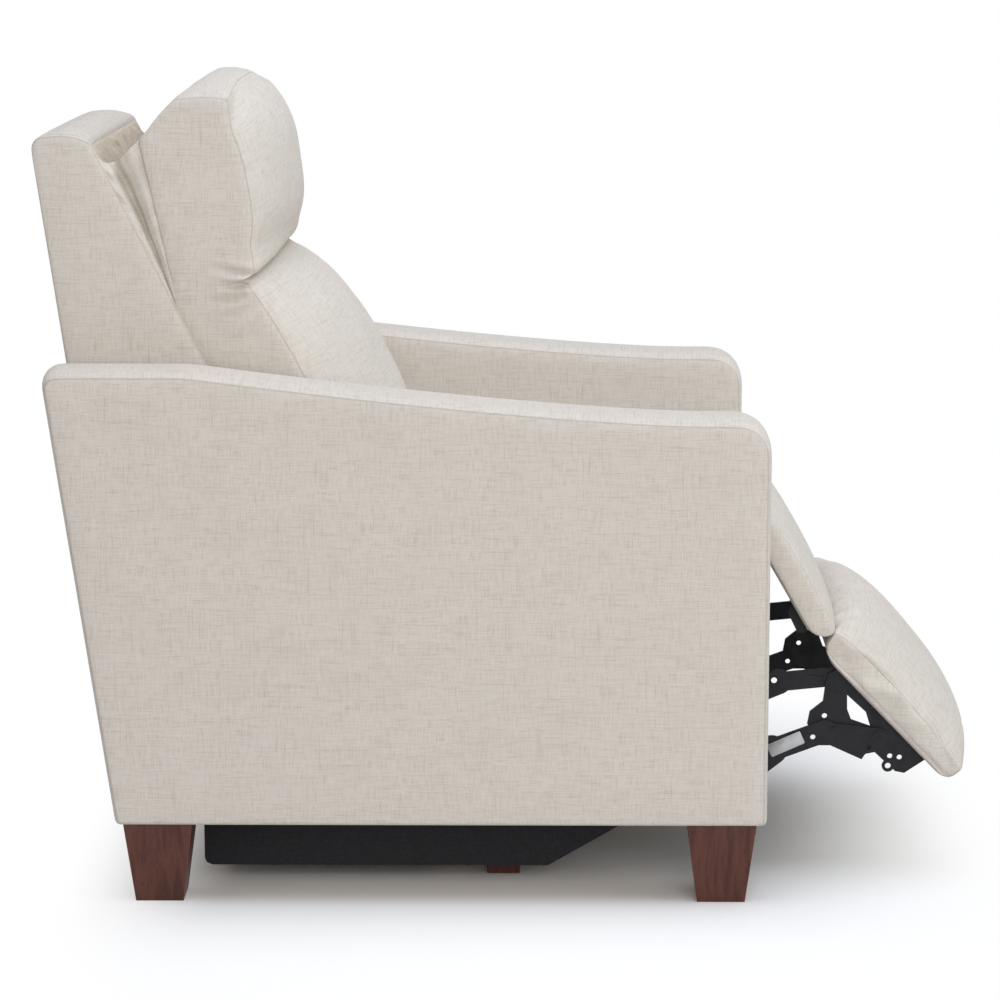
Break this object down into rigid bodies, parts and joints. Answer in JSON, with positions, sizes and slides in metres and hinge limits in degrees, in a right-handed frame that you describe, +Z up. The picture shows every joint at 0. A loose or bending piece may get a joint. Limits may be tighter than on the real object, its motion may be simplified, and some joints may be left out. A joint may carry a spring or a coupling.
{
  "type": "power recliner",
  "caption": "Upholstered power recliner with padded sloping arms, reclining back, tilting headrest and a folding leg rest on a steel linkage.",
  "frame": {"origin": "middle of the whole chair on the floor, with the footrest half open as pictured", "axes": "+Z up, the sitter faces -Y, +X is the sitter's left"},
  "size_m": [0.762, 1.2302, 1.0585],
  "materials": {
    "linen": "woven, matt",
    "walnut": "satin lacquer",
    "black_cloth": "felted, matt",
    "frame_wood": "raw",
    "webbing": "matt",
    "felt": "matt",
    "black_steel": "semi-gloss",
    "bright_steel": "satin",
    "panel_plastic": "matt",
    "button_plastic": "matt"
  },
  "bodies": {
    "base": {"arm_right": "linen", "arm_left": "linen", "arm_frame_right": "frame_wood", "arm_frame_left": "frame_wood", "leg_front_right": "walnut", "leg_front_left": "walnut", "leg_rear_right": "walnut", "leg_rear_left": "walnut", "leg_bolts": "bright_steel", "base_board_right": "black_cloth", "base_board_left": "black_cloth", "base_cross_rails": "frame_wood", "support_feet": "walnut", "side_plate_right": "black_steel", "side_plate_left": "black_steel", "seat_brackets": "black_steel", "seat_rail_front": "frame_wood", "seat_rail_rear": "frame_wood", "seat_side_rails": "frame_wood", "seat_springs": "bright_steel", "seat_deck": "felt", "seat_cushion": "linen", "rear_panel": "linen", "control_panel": "panel_plastic", "power_inlet": "panel_plastic", "footrest_actuator": "black_steel", "recline_actuator": "black_steel", "actuator_tube": "black_steel"},
    "footrest_drive": {"drive_shaft": "black_steel", "rear_link_right": "black_steel", "rear_link_left": "black_steel"},
    "lower_links": {"lower_link_right": "black_steel", "lower_link_left": "black_steel"},
    "footrest": {"footrest_bracket_right": "black_steel", "footrest_bracket_left": "black_steel", "footrest_board": "frame_wood", "footrest_pad": "linen"},
    "upper_links": {"upper_link_right": "black_steel", "upper_link_left": "black_steel"},
    "leg_pad": {"leg_pad_board": "frame_wood", "leg_pad_brackets": "black_steel", "leg_pad": "linen"},
    "footrest_rod": {"footrest_rod": "bright_steel"},
    "recline_rod": {"recline_rod": "bright_steel"},
    "back": {"back_posts": "frame_wood", "back_rails": "frame_wood", "back_brackets": "black_steel", "back_webbing": "webbing", "back_side_right": "linen", "back_side_left": "linen", "back_outer": "linen", "back_cushion": "linen", "headrest_actuator": "black_steel"},
    "headrest": {"headrest_board": "frame_wood", "headrest_pillow": "linen"},
    "headrest_rod": {"headrest_rod": "bright_steel"},
    "button_recline": {"button_recline": "button_plastic"},
    "button_return": {"button_return": "button_plastic"},
    "button_head_forward": {"button_head_forward": "button_plastic"},
    "button_head_back": {"button_head_back": "button_plastic"}
  },
  "joints": [
    {"name": "footrest_extend", "type": "hinge", "parent": "base", "child": "footrest_drive", "pos_m": [0, -0.0545, 0.395], "axis": [-1, 0, 0], "range_deg": [-41, 37]},
    {"name": "lower_link_swing", "type": "hinge", "parent": "footrest_drive", "child": "lower_links", "pos_m": [0, -0.2605, 0.104], "axis": [-1, 0, 0], "range_deg": [-44.5, 49]},
    {"name": "footrest_swing", "type": "hinge", "parent": "lower_links", "child": "footrest", "pos_m": [0, -0.4895, 0.19], "axis": [-1, 0, 0], "range_deg": [-52, 47]},
    {"name": "upper_link_swing", "type": "hinge", "parent": "footrest", "child": "upper_links", "pos_m": [0, -0.42229, 0.26967], "axis": [-1, 0, 0], "range_deg": [-47, 52]},
    {"name": "leg_pad_swing", "type": "hinge", "parent": "base", "child": "leg_pad", "pos_m": [0, -0.3215, 0.485], "axis": [-1, 0, 0], "range_deg": [-32.5, 29.5]},
    {"name": "footrest_rod_slide", "type": "slide", "parent": "base", "child": "footrest_rod", "axis": [0, -1, 0], "range_m": [-0.042, 0.038]},
    {"name": "back_recline", "type": "hinge", "parent": "base", "child": "back", "pos_m": [0, 0.3715, 0.43], "axis": [-1, 0, 0], "range_deg": [0, 35]},
    {"name": "recline_rod_slide", "type": "slide", "parent": "base", "child": "recline_rod", "axis": [0, -1, 0], "range_m": [-0.001, 0.05]},
    {"name": "headrest_tilt", "type": "hinge", "parent": "back", "child": "headrest", "pos_m": [0, 0.4295, 0.781], "axis": [1, 0, 0], "range_deg": [-14, 3]},
    {"name": "headrest_rod_slide", "type": "slide", "parent": "back", "child": "headrest_rod", "axis": [0, 0, 1], "range_m": [-0.012, 0.004]},
    {"name": "button_recline_press", "type": "slide", "parent": "base", "child": "button_recline", "axis": [-1, 0, 0], "range_m": [0, 0.0012], "stiffness_N_per_m": 800, "springref_m": -0.001},
    {"name": "button_return_press", "type": "slide", "parent": "base", "child": "button_return", "axis": [-1, 0, 0], "range_m": [0, 0.0012], "stiffness_N_per_m": 800, "springref_m": -0.001},
    {"name": "button_head_forward_press", "type": "slide", "parent": "base", "child": "button_head_forward", "axis": [-1, 0, 0], "range_m": [0, 0.0012], "stiffness_N_per_m": 800, "springref_m": -0.001},
    {"name": "button_head_back_press", "type": "slide", "parent": "base", "child": "button_head_back", "axis": [-1, 0, 0], "range_m": [0, 0.0012], "stiffness_N_per_m": 800, "springref_m": -0.001}
  ],
  "couplings": [
    {"joint": "lower_link_swing", "follows": "footrest_extend", "ratio": -1.1828},
    {"joint": "footrest_swing", "follows": "footrest_extend", "ratio": 1.2581},
    {"joint": "upper_link_swing", "follows": "footrest_extend", "ratio": -1.2527},
    {"joint": "leg_pad_swing", "follows": "footrest_extend", "ratio": 0.7742},
    {"joint": "footrest_rod_slide", "follows": "footrest_extend", "m_per_rad": 0.0555},
    {"joint": "recline_rod_slide", "follows": "back_recline", "m_per_rad": 0.07876},
    {"joint": "headrest_rod_slide", "follows": "headrest_tilt", "m_per_rad": 0.0446}
  ]
}
